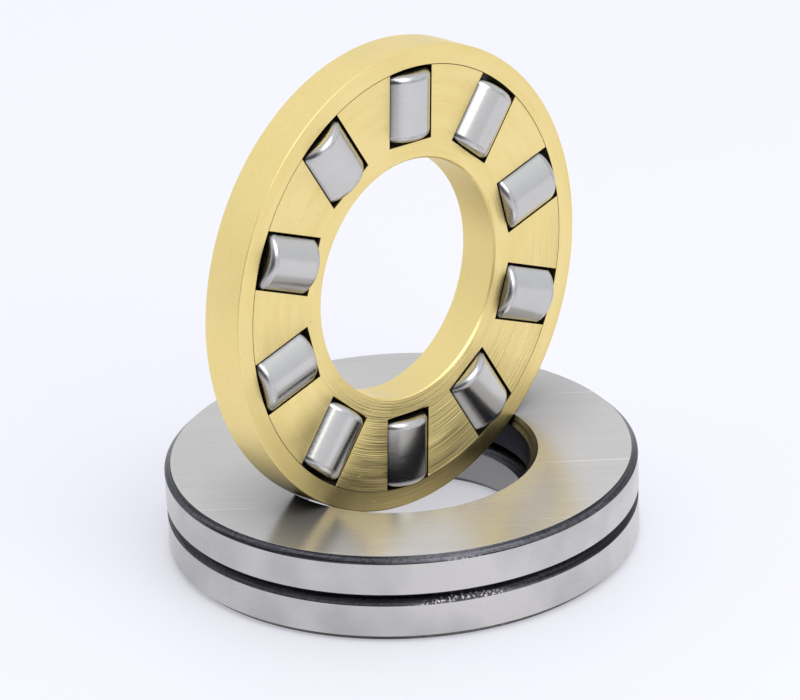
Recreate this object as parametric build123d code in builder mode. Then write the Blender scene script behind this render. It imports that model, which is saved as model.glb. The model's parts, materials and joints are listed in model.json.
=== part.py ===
from build123d import *
import os
from math import cos, radians, sin

# Cylindrical roller thrust bearing, 40 mm bore, 78 mm outside, 26.5 mm high when assembled. It is
# shown apart: the two washers lie stacked on their backs and the caged roller set stands on edge
# in the bore of the upper one.
# Millimetres. Origin at the centre of the stack's underside, +Z up.

# Driving dimensions
shaft_diameter = 40.0           # bore of the shaft washer
outer_diameter = 78.0           # outside of the housing washer
washer_thickness = 7.5
roller_diameter = 11.5
roller_length = 11.5
roller_count = 10

# Washers
shaft_washer_outer_diameter = 77.8
housing_washer_bore_diameter = 42.6
rim_chamfer = 1.05              # both outer edges of each washer
shaft_bore_chamfer = 1.0
housing_bore_chamfer = 1.3

# Cage: a slotted body, closed by a ring pressed over its open pockets
cage_outer_diameter = 78.0
cage_bore_diameter = 40.2
cage_width = 7.4
seam_diameter = 71.3            # the body's outside and the ring's bore
pocket_floor_radius = 23.1
pocket_bore_diameter = 12.0     # each pocket is a radial, flat-bottomed bore
cage_edge_chamfer = 0.3
seam_chamfer = 0.15

# Rollers
roller_dome_height = 0.1        # bulge of each end face
roller_corner_radius = 1.25
roller_drop = 0.12              # below the pocket's axis, in a pocket that lies level

# Stance of the roller set
cage_yaw = 45.0                 # its front faces between -Y and +X
cage_lean = 2.4                 # and tips up by this much
cage_centre_height = 47.1
first_roller_angle = 11.7       # from the horizontal, seen from the front
# How far each roller has slid along its pocket from the middle, outward positive
roller_slides = (-0.45, -0.4, 0.0, -0.1, -0.4, 0.2, -0.2, 0.05, -0.4, -0.45)

os.makedirs("parts", exist_ok=True)


def save(builder, name):
    builder.part.label = name
    export_step(builder.part, f"parts/{name}.step")


def circles(builder):
    """The part's round edges, grouped from the smallest radius to the largest."""
    return builder.edges().filter_by(GeomType.CIRCLE).group_by(SortBy.RADIUS)


def make_washer(name, base_height, outside, bore, bore_chamfer):
    with BuildPart() as washer:
        with BuildSketch(Plane.XY.offset(base_height)):
            Circle(outside / 2)
            Circle(bore / 2, mode=Mode.SUBTRACT)
        extrude(amount=washer_thickness)
        chamfer(circles(washer)[-1], rim_chamfer)
        chamfer(circles(washer)[0], bore_chamfer)
    save(washer, name)


make_washer(
    "shaft_washer", 0, shaft_washer_outer_diameter, shaft_diameter, shaft_bore_chamfer
)
make_washer(
    "housing_washer",
    washer_thickness,
    outer_diameter,
    housing_washer_bore_diameter,
    housing_bore_chamfer,
)

# The cage's middle plane: x runs along the cage, y up it, z out of its front
cage_plane = Plane(
    origin=(0, 0, cage_centre_height),
    x_dir=(cos(radians(cage_yaw)), sin(radians(cage_yaw)), 0),
    z_dir=(
        sin(radians(cage_yaw)) * cos(radians(cage_lean)),
        -cos(radians(cage_yaw)) * cos(radians(cage_lean)),
        sin(radians(cage_lean)),
    ),
)
roller_angles = [first_roller_angle + 360 / roller_count * i for i in range(roller_count)]


def radial_plane(angle, distance, side_shift=0.0):
    """A plane across the cage's radius at this angle, at this distance out; z points outward."""
    spoke = cage_plane.location * Rotation(0, 0, angle) * Pos(distance, side_shift, 0)
    return Plane(spoke * Rotation(0, 90, 0))


# Cage body: a hub ring with one pocket bored in from the outside for each roller
with BuildPart() as cage_body:
    with BuildSketch(cage_plane.offset(-cage_width / 2)):
        Circle(seam_diameter / 2)
        Circle(cage_bore_diameter / 2, mode=Mode.SUBTRACT)
    extrude(amount=cage_width)
    chamfer(circles(cage_body)[-1], seam_chamfer)
    chamfer(circles(cage_body)[0], cage_edge_chamfer)
    for angle in roller_angles:
        with BuildSketch(radial_plane(angle, pocket_floor_radius)):
            Circle(pocket_bore_diameter / 2)
        extrude(amount=seam_diameter / 2, mode=Mode.SUBTRACT)
save(cage_body, "cage_body")

# Cage ring: pressed over the body, it closes the pockets' outer ends
with BuildPart() as cage_ring:
    with BuildSketch(cage_plane.offset(-cage_width / 2)):
        Circle(cage_outer_diameter / 2)
        Circle(seam_diameter / 2, mode=Mode.SUBTRACT)
    extrude(amount=cage_width)
    chamfer(circles(cage_ring)[-1], cage_edge_chamfer)
    chamfer(circles(cage_ring)[0], seam_chamfer)
save(cage_ring, "cage_ring")

# Rollers: one in each pocket, with bulged ends and rounded corners
pocket_middle_radius = (pocket_floor_radius + seam_diameter / 2) / 2
roller_radius = roller_diameter / 2
half_length = roller_length / 2
rim_height = half_length - roller_dome_height


def make_roller(name, angle, slide):
    drop = -roller_drop * cos(radians(angle))
    middle = radial_plane(angle, pocket_middle_radius + slide, drop)
    # half a section through the roller, in the plane that holds its axis
    section_plane = Plane(origin=middle.origin, x_dir=middle.x_dir, z_dir=-middle.y_dir)
    with BuildPart() as roller:
        with BuildSketch(section_plane) as section:
            with BuildLine():
                Line((0, -half_length), (0, half_length))
                Line((roller_radius, -rim_height), (roller_radius, rim_height))
                TangentArc((0, half_length), (roller_radius, rim_height), tangent=(1, 0))
                TangentArc((0, -half_length), (roller_radius, -rim_height), tangent=(1, 0))
            make_face()
            fillet(section.vertices().group_by(Axis.X)[-1], roller_corner_radius)
        revolve(axis=Axis(middle.origin, middle.z_dir))
    save(roller, name)


for i, angle in enumerate(roller_angles):
    make_roller(f"roller_{i + 1:02d}", angle, roller_slides[i])
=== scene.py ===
"""A cylindrical roller thrust bearing, shown apart: two ground steel washers lie stacked, and the
brass-caged roller set stands on edge in the bore of the upper one. Metres, in the CAD's frame."""

import json
from math import asin, atan2, cos, pi, radians, sin, sqrt, tan

import bmesh
import bpy
from mathutils import Matrix, Vector

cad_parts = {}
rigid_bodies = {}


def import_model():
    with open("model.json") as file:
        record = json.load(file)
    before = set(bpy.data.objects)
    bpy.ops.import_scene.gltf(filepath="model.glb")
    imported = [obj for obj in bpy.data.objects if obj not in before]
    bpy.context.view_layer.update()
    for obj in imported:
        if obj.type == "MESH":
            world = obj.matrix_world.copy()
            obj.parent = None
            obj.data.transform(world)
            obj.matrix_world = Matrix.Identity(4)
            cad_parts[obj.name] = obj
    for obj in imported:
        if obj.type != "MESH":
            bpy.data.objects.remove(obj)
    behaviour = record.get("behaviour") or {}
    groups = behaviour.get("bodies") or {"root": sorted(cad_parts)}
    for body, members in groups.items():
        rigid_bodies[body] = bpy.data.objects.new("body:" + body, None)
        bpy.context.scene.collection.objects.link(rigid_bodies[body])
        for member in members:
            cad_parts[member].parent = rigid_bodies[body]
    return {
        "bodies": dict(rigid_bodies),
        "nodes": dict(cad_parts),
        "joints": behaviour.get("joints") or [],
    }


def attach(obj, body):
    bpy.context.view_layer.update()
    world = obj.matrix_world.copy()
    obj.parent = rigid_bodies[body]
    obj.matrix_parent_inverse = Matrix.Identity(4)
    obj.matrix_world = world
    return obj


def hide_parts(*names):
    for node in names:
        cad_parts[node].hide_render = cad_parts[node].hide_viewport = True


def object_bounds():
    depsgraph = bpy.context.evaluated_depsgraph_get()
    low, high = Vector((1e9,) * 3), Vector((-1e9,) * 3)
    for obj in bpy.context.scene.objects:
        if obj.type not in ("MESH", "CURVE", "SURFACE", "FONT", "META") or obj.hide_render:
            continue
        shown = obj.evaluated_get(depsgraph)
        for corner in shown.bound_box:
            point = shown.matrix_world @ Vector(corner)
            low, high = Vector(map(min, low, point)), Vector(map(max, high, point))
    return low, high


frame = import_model()
cad_low, cad_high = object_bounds()

MM = 0.001

# Camera, at the photograph's viewing angle: long lens, slightly rolled
camera_distance = 1082 * MM
camera_elevation = radians(25.16)
camera_roll = radians(-2.5)
camera_aim = Vector((0.6, 0.0, 33.4)) * MM
sensor_width = 36.0
focal_length = 298.0
camera_clip_end = 20.0

# Details that the frame's meshes show too coarsely to measure
washer_rim_chamfer = 1.05 * MM
shaft_bore_chamfer = 1.0 * MM
housing_bore_chamfer = 1.3 * MM
cage_edge_chamfer = 0.3 * MM
pocket_floor_radius = 23.1 * MM
pocket_bore_radius = 6.0 * MM
roller_dome_height = 0.1 * MM
roller_corner_radius = 1.25 * MM

# Edges that the CAD leaves sharp or cuts wider than the real piece does
seam_chamfer = 0.06 * MM
edge_round = 0.06 * MM
lip_round = 0.10 * MM           # the pockets' edges
rim_round = 0.15 * MM           # the cage's outer edges

# Mesh fineness
ring_steps = 288                # round a washer or the cage
roller_steps = 96               # round a roller
round_steps = 3                 # across a rounded edge
dome_steps = 10                 # across a roller's bulged end
corner_steps = 10               # round a roller's corner
floor_steps = 128               # round the stage's floor
shortest_held_run = 6 * edge_round


# ---------------------------------------------------------------- camera
def make_camera():
    data = bpy.data.cameras.new("camera")
    data.sensor_width = sensor_width
    data.lens = focal_length
    camera = bpy.data.objects.new("camera", data)
    bpy.context.scene.collection.objects.link(camera)
    back = Vector((0, -cos(camera_elevation), sin(camera_elevation)))
    camera.location = camera_aim + back * camera_distance
    upright = back.to_track_quat("Z", "Y").to_matrix().to_4x4()
    turn = upright @ Matrix.Rotation(camera_roll, 4, "Z")
    camera.matrix_world = Matrix.Translation(camera.location) @ turn
    data.clip_end = camera_clip_end
    bpy.context.scene.camera = camera


make_camera()


# ---------------------------------------------------------------- measuring the frame
joints = {joint["child"]: joint for joint in frame["joints"]}


def joint_frame(body):
    """A matrix at the body's joint, whose Z runs along its axis and whose X is level."""
    joint = joints[body]
    z = Vector(joint["axis"]).normalized()
    x = Vector((0, 0, 1)).cross(z).normalized()
    turn = Matrix((x, z.cross(x), z)).transposed().to_4x4()
    return Matrix.Translation(Vector(joint["pos_m"])) @ turn


def measure(node, place):
    """Inner radius, outer radius, lowest and highest place along Z, seen in place's own axes."""
    inverse = place.inverted()
    points = [inverse @ v.co for v in frame["nodes"][node].data.vertices]
    radii = [sqrt(p.x**2 + p.y**2) for p in points]
    heights = [p.z for p in points]
    return min(radii), max(radii), min(heights), max(heights)


# ---------------------------------------------------------------- mesh code
def corner_arc(before, corner, after, radius):
    """Points of the arc that rounds a corner of a profile."""
    before, corner, after = Vector(before), Vector(corner), Vector(after)
    a = (before - corner).normalized()
    b = (after - corner).normalized()
    half = a.angle(b) / 2
    reach = radius / tan(half)
    centre = corner + (a + b).normalized() * radius / sin(half)
    start, end = corner + a * reach - centre, corner + b * reach - centre
    sweep = start.angle_signed(end)
    points = []
    for i in range(round_steps + 1):
        turn = Matrix.Rotation(-sweep * i / round_steps, 2)
        points.append(centre + turn @ start)
    return points


def rounded(corners, closed=True):
    """A profile of (radius, height, corner radius, finish after the corner), with its corners
    rounded and each straight run held flat by a point near each end."""
    points = []
    count = len(corners)
    for i, (radius, height, rounding, finish) in enumerate(corners):
        if rounding == 0:
            points.append((Vector((radius, height)), finish))
            continue
        before = corners[i - 1]
        after = corners[(i + 1) % count]
        arc = corner_arc(before[:2], (radius, height), after[:2], rounding)
        points += [(p, finish) for p in arc]
    held = []
    for i, (point, finish) in enumerate(points):
        held.append((point, finish))
        if not closed and i == len(points) - 1:
            break
        run = points[(i + 1) % len(points)][0] - point
        if run.length > shortest_held_run:
            hold = run.normalized() * edge_round
            held.append((point + hold, finish))
            held.append((point + run - hold, finish))
    return held


def add_piece(name, vertices, faces, finishes, materials):
    mesh = bpy.data.meshes.new(name)
    mesh.from_pydata(vertices, [], faces)
    for material in materials:
        mesh.materials.append(material)
    for polygon, finish in zip(mesh.polygons, finishes):
        polygon.material_index = finish
        polygon.use_smooth = True
    mesh.validate()
    mesh.update()
    piece = bpy.data.objects.new(name, mesh)
    bpy.context.scene.collection.objects.link(piece)
    return piece


def lathe(name, profile, steps, materials, closed=True):
    """A profile turned round Z. A closed profile makes a ring; an open one starts and ends on Z."""
    vertices, faces, finishes, rings = [], [], [], []
    for point, _ in profile:
        if point.x < 1e-9:
            rings.append([len(vertices)] * steps)
            vertices.append((0, 0, point.y))
            continue
        rings.append(list(range(len(vertices), len(vertices) + steps)))
        for i in range(steps):
            angle = 2 * pi * i / steps
            vertices.append((point.x * cos(angle), point.x * sin(angle), point.y))
    runs = len(rings) if closed else len(rings) - 1
    for k in range(runs):
        low, high = rings[k], rings[(k + 1) % len(rings)]
        for i in range(steps):
            j = (i + 1) % steps
            face = [low[i], low[j], high[j], high[i]]
            face = [v for n, v in enumerate(face) if v != face[n - 1]]
            faces.append(face)
            finishes.append(profile[k][1])
    return add_piece(name, vertices, faces, finishes, materials)


# ---------------------------------------------------------------- material nodes
# samples for the painted shade that darkens a colour near other surfaces
painted_shade_samples = 8


class Tree:
    """A node tree, and short ways to add nodes to it."""

    def __init__(self, owner, coordinates):
        owner.use_nodes = True
        self.nodes = owner.node_tree.nodes
        self.links = owner.node_tree.links
        self.place = self.add("ShaderNodeTexCoord").outputs[coordinates]

    def add(self, kind, settings=None, **inputs):
        node = self.nodes.new(kind)
        for key, value in (settings or {}).items():
            setattr(node, key, value)
        for key, value in inputs.items():
            self.feed(node.inputs[key.replace("_", " ")], value)
        return node

    def feed(self, socket, value):
        if isinstance(value, bpy.types.NodeSocket):
            self.links.new(value, socket)
        else:
            socket.default_value = value

    def math(self, operation, a, b):
        node = self.add("ShaderNodeMath", {"operation": operation})
        self.feed(node.inputs[0], a)
        self.feed(node.inputs[1], b)
        return node.outputs[0]

    def stretched(self, scale):
        """The object's coordinates, scaled along each axis."""
        node = self.add("ShaderNodeVectorMath", {"operation": "MULTIPLY"})
        self.feed(node.inputs[0], self.place)
        self.feed(node.inputs[1], scale)
        return node.outputs[0]

    def polar(self, radial, along, around):
        """Coordinates that change with the distance from Z and the height, and less round Z."""
        parts = self.add("ShaderNodeSeparateXYZ", Vector=self.place)
        flat = self.add("ShaderNodeCombineXYZ", X=parts.outputs["X"], Y=parts.outputs["Y"])
        spoke = self.add("ShaderNodeVectorMath", {"operation": "NORMALIZE"})
        self.feed(spoke.inputs[0], flat.outputs[0])
        radius = self.math("MULTIPLY", self.dot(spoke.outputs[0], self.place), radial)
        height = self.math("MULTIPLY", parts.outputs["Z"], along)
        turned = self.add("ShaderNodeVectorMath", {"operation": "MULTIPLY_ADD"})
        self.feed(turned.inputs[0], spoke.outputs[0])
        self.feed(turned.inputs[1], (around, around, 0))
        across = self.add("ShaderNodeCombineXYZ", Z=self.math("ADD", radius, height))
        self.feed(turned.inputs[2], across.outputs[0])
        return turned.outputs[0]

    def noise(self, vector, scale, detail=2.0, roughness=0.5):
        node = self.add("ShaderNodeTexNoise", Vector=vector, Scale=scale, Detail=detail)
        node.inputs["Roughness"].default_value = roughness
        return node.outputs["Fac"]

    def spread(self, value, low, high, to_low, to_high):
        node = self.add("ShaderNodeMapRange", Value=value)
        for key, number in zip(
            ("From Min", "From Max", "To Min", "To Max"), (low, high, to_low, to_high)
        ):
            node.inputs[key].default_value = number
        return node.outputs["Result"]

    def dot(self, vector, fixed):
        node = self.add("ShaderNodeVectorMath", {"operation": "DOT_PRODUCT"})
        self.feed(node.inputs[0], vector)
        self.feed(node.inputs[1], fixed)
        return node.outputs["Value"]

    def blend(self, amount, first, second):
        node = self.add("ShaderNodeMix", {"data_type": "RGBA"})
        self.feed(node.inputs["Factor"], amount)
        for socket, value in zip((node.inputs[6], node.inputs[7]), (first, second)):
            self.feed(socket, value if isinstance(value, bpy.types.NodeSocket) else (*value, 1))
        return node.outputs[2]


class Shader(Tree):
    """A node material with one Principled shader."""

    def __init__(self, name, **settings):
        self.material = bpy.data.materials.new(name)
        super().__init__(self.material, "Object")
        self.surface = self.nodes["Principled BSDF"]
        for socket, value in settings.items():
            self.surface.inputs[socket.replace("_", " ")].default_value = value

    def bump(self, height, distance, under=None):
        node = self.add("ShaderNodeBump", Height=height, Distance=distance)
        if under is not None:
            self.feed(node.inputs["Normal"], under)
        return node.outputs["Normal"]

    def with_painted_shade(self, color, reach, shade_passes=1):
        """The colour with painted shade: darker where another surface is nearer than reach."""
        samples = {"samples": painted_shade_samples}
        for _ in range(shade_passes):
            node = self.add("ShaderNodeAmbientOcclusion", samples, Color=color, Distance=reach)
            color = node.outputs["Color"]
        return color

    def set(self, socket, value):
        self.feed(self.surface.inputs[socket], value)


# ---------------------------------------------------------------- steel
def ground_face_steel():
    """Flat faces, surface-ground: fine straight streaks and a few scratches, half mirror."""
    s = Shader("ground_face_steel", Metallic=0.7)
    fine = s.noise(s.stretched((120, 5200, 400)), 1.0, 3.0, 0.6)
    broad = s.noise(s.stretched((25, 700, 100)), 1.0, 2.0)
    cloud = s.noise(s.place, 90.0, 2.0)
    color = s.blend(broad, (0.56, 0.543, 0.51), (0.63, 0.61, 0.575))
    scratches = s.noise(s.stretched((14, 1500, 200)), 1.0, 1.0)
    color = s.blend(s.spread(scratches, 0.70, 0.76, 0, 0.8), color, (0.85, 0.83, 0.8))
    # painted shade: the faces darken where the cage stands near them and blocks light
    s.set("Base Color", s.with_painted_shade(color, 16 * MM))
    s.set("Roughness", s.spread(s.math("ADD", fine, cloud), 0.6, 1.4, 0.17, 0.26))
    s.set("Normal", s.bump(fine, 0.000014))
    return s.material


def ground_round_steel():
    """Outsides and bores, ground round: fine rings, brighter."""
    s = Shader("ground_round_steel", Metallic=1.0)
    fine = s.noise(s.polar(0, 9000, 3), 1.0, 3.0, 0.6)
    bands = s.noise(s.polar(0, 60, 2.9), 1.0, 2.0)
    bands = s.spread(bands, 0.38, 0.62, 0, 1)
    s.set("Base Color", s.blend(bands, (0.48, 0.47, 0.455), (0.63, 0.61, 0.585)))
    s.set("Roughness", s.spread(fine, 0.3, 0.7, 0.22, 0.34))
    s.set("Normal", s.bump(fine, 0.000004))
    return s.material


def turned_dark_steel():
    """Chamfers left as turned and hardened: dark, with fine rings, with painted shade deep between
    the washers, and painted glints as bright flecks on one side."""
    s = Shader("turned_dark_steel", Metallic=1.0)
    rings = s.noise(s.polar(4000, 1500, 1.5), 1.0, 2.0, 0.7)
    mottle = s.noise(s.place, 1500.0, 3.0, 0.7)
    uneven = s.spread(mottle, 0.3, 0.7, 0.4, 1.6)
    tone = s.math("MULTIPLY", s.spread(rings, 0.35, 0.7, 0, 1), uneven)
    grit = s.noise(s.place, 5000.0, 1.0)
    dark = s.blend(tone, (0.016, 0.016, 0.020), (0.13, 0.127, 0.14))
    # painted shade, deepest in the groove between the two washers
    dark = s.with_painted_shade(dark, 2.5 * MM, 2)
    glint_flecks = s.spread(s.noise(s.polar(6000, 2500, 100), 1.0, 1.0), 0.5, 0.72, 0, 1)
    # painted glints: bright flecks on the side where the lamp's highlight falls, leaning down, so
    # that the lower washer shows most of them
    glint_side = s.spread(s.dot(s.place, (0.233, -0.972, -0.12)), 36.9 * MM, 37.6 * MM, 0, 0.85)
    s.set("Base Color", s.blend(s.math("MULTIPLY", glint_flecks, glint_side), dark, (0.5, 0.46, 0.485)))
    s.set("Roughness", s.spread(mottle, 0.3, 0.7, 0.24, 0.44))
    s.set("Normal", s.bump(grit, 0.00003, s.bump(rings, 0.000012)))
    return s.material


def ground_bore_steel():
    """The shaft washer's bore: ground, and greyer than the outside."""
    s = Shader("ground_bore_steel", Metallic=1.0)
    fine = s.noise(s.polar(0, 7000, 3), 1.0, 3.0, 0.6)
    s.set("Base Color", s.blend(fine, (0.29, 0.287, 0.285), (0.42, 0.415, 0.41)))
    s.set("Roughness", s.spread(fine, 0.3, 0.7, 0.28, 0.4))
    s.set("Normal", s.bump(fine, 0.0000015))
    return s.material


def black_bore_steel():
    """The housing washer's bore, left black from hardening."""
    s = Shader("black_bore_steel", Metallic=1.0)
    rings = s.noise(s.polar(0, 3800, 1.5), 1.0, 2.0, 0.7)
    s.set("Base Color", s.blend(rings, (0.012, 0.012, 0.018), (0.04, 0.04, 0.055)))
    s.set("Roughness", s.spread(rings, 0.3, 0.7, 0.22, 0.38))
    s.set("Normal", s.bump(rings, 0.000004))
    return s.material


def roller_barrel_steel():
    """Polished rolling surface with a trace of grinding rings."""
    s = Shader("roller_barrel_steel", Metallic=1.0)
    rings = s.noise(s.polar(0, 7000, 2), 1.0, 3.0, 0.6)
    cloud = s.noise(s.place, 300.0, 2.0)
    color = s.blend(cloud, (0.56, 0.55, 0.525), (0.62, 0.61, 0.58))
    # painted shade where the rollers sit close to the pocket walls
    s.set("Base Color", s.with_painted_shade(color, 0.8 * MM, 2))
    s.set("Roughness", s.spread(rings, 0.3, 0.7, 0.16, 0.26))
    s.set("Normal", s.bump(rings, 0.000001))
    return s.material


def roller_end_steel():
    """Ground end faces: fine rings round the roller's axis."""
    s = Shader("roller_end_steel", Metallic=1.0)
    rings = s.noise(s.polar(6000, 0, 2), 1.0, 3.0, 0.6)
    color = s.blend(s.spread(rings, 0.35, 0.65, 0, 1), (0.46, 0.455, 0.45), (0.63, 0.62, 0.60))
    # painted shade on the ends, darker deep in the pockets
    s.set("Base Color", s.with_painted_shade(color, 4 * MM))
    s.set("Roughness", s.spread(rings, 0.3, 0.7, 0.20, 0.36))
    s.set("Normal", s.bump(rings, 0.000003))
    return s.material


# ---------------------------------------------------------------- brass
brass_light = (0.92, 0.75, 0.335)
brass_deep = (0.86, 0.685, 0.27)
face_groove_depth = 0.32 * MM   # as the bump reads it: the noise fills a small part of this
rim_groove_depth = 0.08 * MM


def turned_brass(name, groove_depth):
    """A face of the cage, turned: rings round its axis, deeper to one side, and a few pits."""
    s = Shader(name, Metallic=1.0)
    fine = s.noise(s.polar(8000, 0, 2.0), 1.0, 3.0, 0.65)
    grooves = s.noise(s.polar(6000, 0, 0.8), 1.0, 1.5)
    drift = s.spread(s.noise(s.polar(350, 0, 1.5), 1.0, 1.0), 0.35, 0.65, 0.5, 1.0)
    deep = s.spread(s.dot(s.place, (0.5, -0.87, 0)), 14 * MM, 31 * MM, 0.25, 1.0)
    broad = s.noise(s.polar(500, 0, 2.5), 1.0, 1.0)
    cloud = s.noise(s.place, 120.0, 2.0)
    tone = s.math("ADD", s.math("MULTIPLY", fine, 0.5), s.math("MULTIPLY", broad, 0.5))
    s.set("Base Color", s.blend(s.spread(tone, 0.35, 0.65, 0, 1), brass_deep, brass_light))
    s.set("Roughness", s.spread(cloud, 0.3, 0.7, 0.28, 0.38))
    pits = s.spread(s.noise(s.place, 1400.0, 1.0), 0.22, 0.30, 0, 1)
    depth = s.math("MULTIPLY", drift, deep)
    grain = s.bump(s.noise(s.place, 4500.0, 2.0), 0.000009, s.bump(pits, 0.00004))
    under = s.bump(s.math("MULTIPLY", grooves, depth), groove_depth, grain)
    s.set("Normal", s.bump(fine, 0.000006, under))
    return s.material


def satin_brass():
    """The cage's outside and bore: fine turned rings under a satin finish."""
    s = Shader("satin_brass", Metallic=1.0)
    grain = s.noise(s.polar(0, 3500, 60), 1.0, 3.0, 0.65)
    speckle = s.noise(s.place, 5000.0, 2.0)
    cloud = s.noise(s.place, 150.0, 2.0)
    tone = s.math("ADD", s.math("MULTIPLY", grain, 0.6), s.math("MULTIPLY", cloud, 0.4))
    color = s.blend(s.spread(tone, 0.35, 0.65, 0, 1), brass_deep, brass_light)
    # painted shade on the outside where the cage rests near the washer
    s.set("Base Color", s.with_painted_shade(color, 14 * MM))
    s.set("Roughness", s.spread(cloud, 0.3, 0.7, 0.36, 0.46))
    under = s.bump(grain, 0.000004)
    s.set("Normal", s.bump(speckle, 0.000004, under))
    return s.material


def shaded_drilled_brass():
    """Pocket walls: drilled, dull and oily, and painted dark as the shade inside the pockets."""
    s = Shader("shaded_drilled_brass", Metallic=1.0)
    streaks = s.noise(s.place, 1500.0, 3.0, 0.6)
    # painted shade: a colour far darker than brass, for the pockets' shaded walls
    s.set("Base Color", s.blend(streaks, (0.07, 0.055, 0.03), (0.24, 0.185, 0.08)))
    s.set("Roughness", s.spread(streaks, 0.3, 0.7, 0.40, 0.60))
    s.set("Normal", s.bump(streaks, 0.000006))
    return s.material


# ---------------------------------------------------------------- washers
FACE, ROUND, DARK, BLACK, BORE = range(5)
washer_materials = [
    ground_face_steel(), ground_round_steel(), turned_dark_steel(), black_bore_steel(),
    ground_bore_steel(),
]


def make_washer(node, bore_chamfer, bore_finish):
    bore, outside, low, high = measure(node, Matrix())
    c, b, e = washer_rim_chamfer, bore_chamfer, edge_round
    profile = rounded([
        (bore + b, low, e, FACE),
        (outside - c, low, e, DARK),
        (outside, low + c, e, ROUND),
        (outside, high - c, e, DARK),
        (outside - c, high, e, FACE),
        (bore + b, high, e, DARK),
        (bore, high - b, e, bore_finish),
        (bore, low + b, e, DARK),
    ])
    piece = lathe(node + "_metal", profile, ring_steps, washer_materials)
    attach(piece, node)
    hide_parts(node)


make_washer("shaft_washer", shaft_bore_chamfer, BORE)
make_washer("housing_washer", housing_bore_chamfer, BLACK)


# ---------------------------------------------------------------- cage
TURNED, SATIN, SHADED_DRILLED, TURNED_RIM = range(4)
cage_materials = [
    turned_brass("turned_brass", face_groove_depth), satin_brass(), shaded_drilled_brass(),
    turned_brass("turned_rim_brass", rim_groove_depth),
]
cage_place = joint_frame("roller_cage")
roller_names = sorted(
    name for name in frame["bodies"] if name.startswith("roller_") and name != "roller_cage"
)


def place_cage_piece(piece, node):
    piece.matrix_world = cage_place
    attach(piece, "roller_cage")
    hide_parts(node)


def make_cage_ring():
    bore, outside, low, high = measure("cage_ring", cage_place)
    s, e = seam_chamfer, edge_round / 2
    profile = rounded([
        (bore + s, low, e, TURNED_RIM),
        (outside, low, rim_round, SATIN),
        (outside, high, rim_round, SATIN),
        (outside - rim_round - edge_round, high, 0, TURNED_RIM),
        (bore + s, high, e, SHADED_DRILLED),
        (bore, high - s, e, SHADED_DRILLED),
        (bore, low + s, e, SHADED_DRILLED),
    ])
    piece = lathe("cage_ring_brass", profile, ring_steps, cage_materials)
    place_cage_piece(piece, "cage_ring")


def pocket_angles():
    """The pockets' directions round the cage's own Z axis."""
    angles = []
    for name in roller_names:
        spoke = cage_place.to_3x3().inverted() @ Vector(joints[name]["axis"])
        angles.append(atan2(spoke.y, spoke.x))
    return sorted(angles)


# Steps along a pocket's side, across its end, along the land to the next one, and down its wall
side_steps, end_steps, land_steps, wall_steps = 10, 8, 14, 14
cage_crease = radians(38)       # edges bent more than this stay sharp
lip_depths = [0.0, 0.01 * MM, 0.03 * MM, seam_chamfer, lip_round]


def body_outline(angles, half_width, floor, outer):
    """The slotted disc's outline at one level: land arcs between straight-sided pockets."""
    points = []
    side_angle = asin(half_width / outer)
    side_end = outer * cos(side_angle)
    for i, angle in enumerate(angles):
        slot = []
        for k in range(side_steps):
            slot.append((side_end + (floor - side_end) * k / side_steps, -half_width))
        for k in range(end_steps):
            slot.append((floor, -half_width + 2 * half_width * k / end_steps))
        for k in range(side_steps):
            slot.append((floor + (side_end - floor) * k / side_steps, half_width))
        spoke, across = Vector((cos(angle), sin(angle))), Vector((-sin(angle), cos(angle)))
        points += [spoke * depth + across * offset for depth, offset in slot]
        start, end = angle + side_angle, angle + 2 * pi / len(angles) - side_angle
        for k in range(land_steps):
            turn = start + (end - start) * k / land_steps
            points.append(Vector((cos(turn), sin(turn))) * outer)
    return points


def band(bm, rings, finish):
    """Faces between rings of points that follow one another."""
    rings = [[bm.verts.new(point) for point in ring] for ring in rings]
    for low, high in zip(rings, rings[1:]):
        for i in range(len(low)):
            j = (i + 1) % len(low)
            bm.faces.new((low[i], low[j], high[j], high[i])).material_index = finish


def close_face(bm, height):
    """Fills the flat face between the open loops at this height."""
    edges = [
        edge for edge in bm.edges
        if edge.is_boundary and all(abs(vert.co.z - height) < 1e-7 for vert in edge.verts)
    ]
    filled = bmesh.ops.triangle_fill(bm, use_beauty=True, edges=edges)
    for face in filled["geom"]:
        if isinstance(face, bmesh.types.BMFace):
            face.material_index = TURNED
            face.smooth = False


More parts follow.
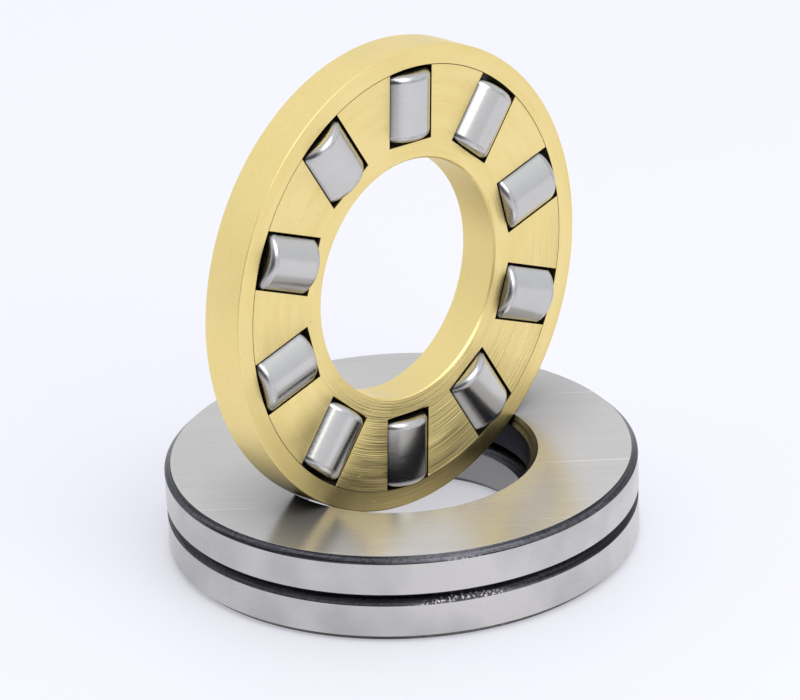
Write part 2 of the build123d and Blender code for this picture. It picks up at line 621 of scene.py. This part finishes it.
def make_cage_body():
    bore, outside, low, high = measure("cage_body", cage_place)
    middle, half = (high + low) / 2, (high - low) / 2
    wall = half - lip_round
    heights = [depth - half for depth in lip_depths]
    heights += [-wall + 2 * wall * k / wall_steps for k in range(1, wall_steps)]
    heights += [half - depth for depth in reversed(lip_depths)]
    angles = pocket_angles()
    outlines = []
    for height in heights:
        depth = half - abs(height)
        lip = lip_round - sqrt(lip_round**2 - max(lip_round - depth, 0) ** 2)
        width = sqrt(pocket_bore_radius**2 - height**2) + lip
        outer = outside - max(seam_chamfer - depth, 0)
        outline = body_outline(angles, width, pocket_floor_radius - lip, outer)
        outlines.append([(p.x, p.y, middle + height) for p in outline])
    c, e = cage_edge_chamfer, edge_round / 2
    bore_profile = rounded([
        (bore + c, high, 0, SATIN),
        (bore, high - c, e, SATIN),
        (bore, low + c, e, SATIN),
        (bore + c, low, 0, SATIN),
    ], closed=False)
    turns = [2 * pi * i / ring_steps for i in range(ring_steps)]
    circle = [(cos(turn), sin(turn)) for turn in turns]
    bm = bmesh.new()
    band(bm, outlines, SHADED_DRILLED)
    band(bm, [[(p.x * x, p.x * y, p.y) for x, y in circle] for p, _ in bore_profile], SATIN)
    for face in bm.faces:
        face.smooth = True
    close_face(bm, low)
    close_face(bm, high)
    bmesh.ops.recalc_face_normals(bm, faces=bm.faces)
    mesh = bpy.data.meshes.new("cage_body_brass")
    bm.to_mesh(mesh)
    bm.free()
    for material in cage_materials:
        mesh.materials.append(material)
    mesh.set_sharp_from_angle(angle=cage_crease)
    piece = bpy.data.objects.new("cage_body_brass", mesh)
    bpy.context.scene.collection.objects.link(piece)
    place_cage_piece(piece, "cage_body")


make_cage_ring()
make_cage_body()


# ---------------------------------------------------------------- rollers
BARREL, END = range(2)
roller_materials = [roller_barrel_steel(), roller_end_steel()]


def make_roller(node):
    place = joint_frame(node)
    _, radius, low, high = measure(node, place)
    half = (high - low) / 2
    dome, corner = roller_dome_height, roller_corner_radius
    dome_radius = (radius**2 + dome**2) / (2 * dome)
    points = []
    # bulged end, from the axis out to where the rounded corner takes over
    dome_turn = asin((radius - corner) / (dome_radius - corner))
    corner_turn = pi / 2 - dome_turn
    centre_y = half - dome_radius
    for k in range(dome_steps + 1):
        turn = dome_turn * k / dome_steps
        points.append((dome_radius * sin(turn), centre_y + dome_radius * cos(turn)))
    corner_y = centre_y + (dome_radius - corner) * sin(corner_turn)
    for k in range(1, corner_steps + 1):
        turn = corner_turn * (1 - k / corner_steps)
        points.append((radius - corner + corner * cos(turn), corner_y + corner * sin(turn)))
    points.append((radius, corner_y - edge_round))
    barrel = range(len(points) - 2, len(points) + 1)
    points += [(x, -y) for x, y in reversed(points)]
    # from the lower end to the upper one, so that the faces look outward
    profile = [
        (Vector((x, -y)), BARREL if k in barrel else END) for k, (x, y) in enumerate(points)
    ]
    piece = lathe(node + "_steel", profile, roller_steps, roller_materials, closed=False)
    piece.matrix_world = place
    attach(piece, node)
    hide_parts(node)


for roller_name in roller_names:
    make_roller(roller_name)


# ---------------------------------------------------------------- floor, light, background
floor_radius = 0.45
floor_pale = (0.945, 0.943, 1.0)
floor_tone = 0.52               # how much light it returns
floor_worn = 0.985              # and its greyer patches, against the rest
floor_glow = 0.41               # how much it gives off itself
world_pale = (0.913, 0.937, 1.0)
world_strength = 0.93
world_at_level = 0.97           # and it brightens upward
world_overhead = 1.15
opening_direction = (-10, 15)   # the dim round opening of the light tent
opening_inner, opening_outer = radians(24), radians(38)
opening_strength = 0.12
lamp_direction = (35, 50)
lamp_radiance = 2.5
lamp_size = (0.55, 0.65)
lamp_distance = 0.9


def toward(azimuth, elevation):
    """The direction to a thing at this azimuth (0 is -Y, 90 is +X) and elevation, in degrees."""
    a, e = radians(azimuth), radians(elevation)
    return Vector((sin(a) * cos(e), -cos(a) * cos(e), sin(e)))


def make_floor():
    s = Shader(
        "pale_floor", Roughness=0.6,
        Emission_Color=(*floor_pale, 1), Emission_Strength=floor_glow,
    )
    light = tuple(floor_tone * c for c in floor_pale)
    worn = tuple(floor_worn * c for c in light)
    s.set("Base Color", s.blend(s.noise(s.place, 3.0), light, worn))
    steps = floor_steps
    turns = [2 * pi * i / steps for i in range(steps)]
    rim = [(floor_radius * cos(turn), floor_radius * sin(turn), 0) for turn in turns]
    faces = [(0, i + 1, (i + 1) % steps + 1) for i in range(steps)]
    add_piece("floor", [(0, 0, 0)] + rim, faces, [0] * steps, [s.material])


def make_lamp(name, azimuth, elevation):
    width, height = lamp_size
    data = bpy.data.lights.new(name, "AREA")
    data.shape = "RECTANGLE"
    data.size, data.size_y = width, height
    data.energy = lamp_radiance * pi * width * height
    lamp = bpy.data.objects.new(name, data)
    back = toward(azimuth, elevation)
    lamp.location = (cad_low + cad_high) / 2 + back * lamp_distance
    lamp.rotation_euler = back.to_track_quat("Z", "Y").to_euler()
    bpy.context.scene.collection.objects.link(lamp)


def make_world():
    """Pale all round, and dim in one round opening that only reflections and light show."""
    world = bpy.data.worlds.new("studio")
    bpy.context.scene.world = world
    t = Tree(world, "Generated")
    toward_opening = t.dot(t.place, toward(*opening_direction))
    dim = t.spread(toward_opening, cos(opening_outer), cos(opening_inner), 1.0, opening_strength)
    lit = t.spread(t.dot(t.place, (0, 0, 1)), 0.0, 0.8, world_at_level, world_overhead)
    seen = t.add("ShaderNodeLightPath").outputs["Is Camera Ray"]
    strength = t.math("MAXIMUM", t.math("MULTIPLY", dim, lit), seen)
    back = t.nodes["Background"]
    back.inputs["Color"].default_value = (*world_pale, 1)
    t.feed(back.inputs["Strength"], t.math("MULTIPLY", strength, world_strength))


make_floor()
make_world()
make_lamp("softbox", *lamp_direction)
bpy.context.scene.view_settings.view_transform = "Standard"
